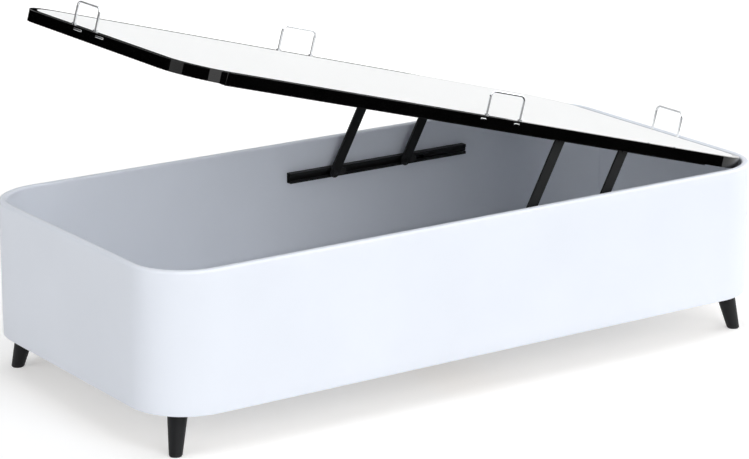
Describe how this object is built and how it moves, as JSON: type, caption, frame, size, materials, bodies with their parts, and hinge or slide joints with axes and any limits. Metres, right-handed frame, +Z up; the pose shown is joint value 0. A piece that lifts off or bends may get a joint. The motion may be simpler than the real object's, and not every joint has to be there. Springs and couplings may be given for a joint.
{
  "type": "storage bed base",
  "caption": "Upholstered single storage bed base with rounded corners, splayed legs and a lid hinged at the head, held open by arms on guide rails.",
  "frame": {"origin": "on the floor, under the centre of the base", "axes": "+X along the length toward the hinged head end, +Y across the width to the far side, +Z up"},
  "size_m": [1.96, 0.964, 1.0476],
  "materials": {
    "black_edging": "smooth black",
    "black_steel": "black powder coat",
    "black_wood": "black lacquer",
    "board": "bare particle board and planed pine",
    "bright_steel": "zinc plated",
    "chrome": "polished",
    "faced_board": "particle board with a white melamine face",
    "glide_plastic": "matt",
    "nitrided_steel": "nitrided black",
    "rubber_pad": "matt",
    "slider_plastic": "matt black nylon",
    "white_fabric": "white woven top",
    "white_leather": "smooth white coated upholstery"
  },
  "bodies": {
    "base": {"base_corner_foot_far": "board", "base_corner_foot_near": "board", "base_corner_head_far": "board", "base_corner_head_near": "board", "base_end_foot": "board", "base_end_head": "board", "base_side_far": "board", "base_side_near": "board", "centre_beam": "board", "floor_board_foot": "faced_board", "floor_board_head": "faced_board", "floor_cleats": "board", "gas_cylinder_far": "black_steel", "gas_cylinder_near": "black_steel", "hinge_leaf_base": "bright_steel", "hinge_pin": "bright_steel", "leg_blocks": "board", "leg_bolts": "bright_steel", "leg_foot_far": "black_wood", "leg_foot_near": "black_wood", "leg_glides": "glide_plastic", "leg_head_far": "black_wood", "leg_head_near": "black_wood", "lid_rest_blocks": "board", "lid_rest_pads": "rubber_pad", "rail_far": "black_steel", "rail_near": "black_steel", "upholstery_cover": "white_leather"},
    "lid": {"arm_pivot_bolts": "bright_steel", "arm_spacers": "black_steel", "hinge_leaf_lid": "bright_steel", "lid_board": "faced_board", "lid_cross_tubes": "black_steel", "lid_edging_corner_foot_far": "black_edging", "lid_edging_corner_foot_near": "black_edging", "lid_edging_corner_head_far": "black_edging", "lid_edging_corner_head_near": "black_edging", "lid_edging_end_foot": "black_edging", "lid_edging_end_head": "black_edging", "lid_edging_side_far": "black_edging", "lid_edging_side_near": "black_edging", "lid_pad": "white_fabric", "lid_tube_far": "black_steel", "lid_tube_near": "black_steel", "retainer_collars": "chrome", "retainer_far": "chrome", "retainer_foot": "chrome", "retainer_head": "chrome", "retainer_near": "chrome"},
    "long_arm_near": {"long_arm_near": "black_steel"},
    "long_slider_near": {"long_slider_near": "slider_plastic"},
    "short_arm_near": {"short_arm_near": "black_steel"},
    "short_slider_near": {"short_slider_near": "slider_plastic", "gas_rod_near": "nitrided_steel"},
    "long_arm_far": {"long_arm_far": "black_steel"},
    "long_slider_far": {"long_slider_far": "slider_plastic"},
    "short_arm_far": {"short_arm_far": "black_steel"},
    "short_slider_far": {"short_slider_far": "slider_plastic", "gas_rod_far": "nitrided_steel"}
  },
  "joints": [
    {"name": "lid_hinge", "type": "hinge", "parent": "base", "child": "lid", "pos_m": [0.955, 0, 0.48], "axis": [0, 1, 0], "range_deg": [-15.47, 0], "stiffness_Nm_per_rad": 100, "springref_deg": 160.43},
    {"name": "long_arm_pivot_near", "type": "hinge", "parent": "lid", "child": "long_arm_near", "pos_m": [0.26832, -0.433, 0.64203], "axis": [0, 1, 0], "range_deg": [0, 63.67]},
    {"name": "long_slider_travel_near", "type": "slide", "parent": "base", "child": "long_slider_near", "axis": [1, 0, 0], "range_m": [-0.16522, 0]},
    {"name": "short_arm_pivot_near", "type": "hinge", "parent": "lid", "child": "short_arm_near", "pos_m": [0.48384, -0.433, 0.58238], "axis": [0, 1, 0], "range_deg": [0, 59.43]},
    {"name": "short_slider_travel_near", "type": "slide", "parent": "base", "child": "short_slider_near", "axis": [1, 0, 0], "range_m": [-0.1188, 0]},
    {"name": "long_arm_pivot_far", "type": "hinge", "parent": "lid", "child": "long_arm_far", "pos_m": [0.26832, 0.433, 0.64203], "axis": [0, 1, 0], "range_deg": [0, 63.67]},
    {"name": "long_slider_travel_far", "type": "slide", "parent": "base", "child": "long_slider_far", "axis": [1, 0, 0], "range_m": [-0.16522, 0]},
    {"name": "short_arm_pivot_far", "type": "hinge", "parent": "lid", "child": "short_arm_far", "pos_m": [0.48384, 0.433, 0.58238], "axis": [0, 1, 0], "range_deg": [0, 59.43]},
    {"name": "short_slider_travel_far", "type": "slide", "parent": "base", "child": "short_slider_far", "axis": [1, 0, 0], "range_m": [-0.1188, 0]}
  ],
  "couplings": [
    {"joint": "long_arm_pivot_near", "follows": "lid_hinge", "ratio": -4.1089},
    {"joint": "long_slider_travel_near", "follows": "lid_hinge", "m_per_rad": 0.61005},
    {"joint": "short_arm_pivot_near", "follows": "lid_hinge", "ratio": -3.8354},
    {"joint": "short_slider_travel_near", "follows": "lid_hinge", "m_per_rad": 0.43814},
    {"joint": "long_arm_pivot_far", "follows": "lid_hinge", "ratio": -4.1089},
    {"joint": "long_slider_travel_far", "follows": "lid_hinge", "m_per_rad": 0.61005},
    {"joint": "short_arm_pivot_far", "follows": "lid_hinge", "ratio": -3.8354},
    {"joint": "short_slider_travel_far", "follows": "lid_hinge", "m_per_rad": 0.43814}
  ]
}
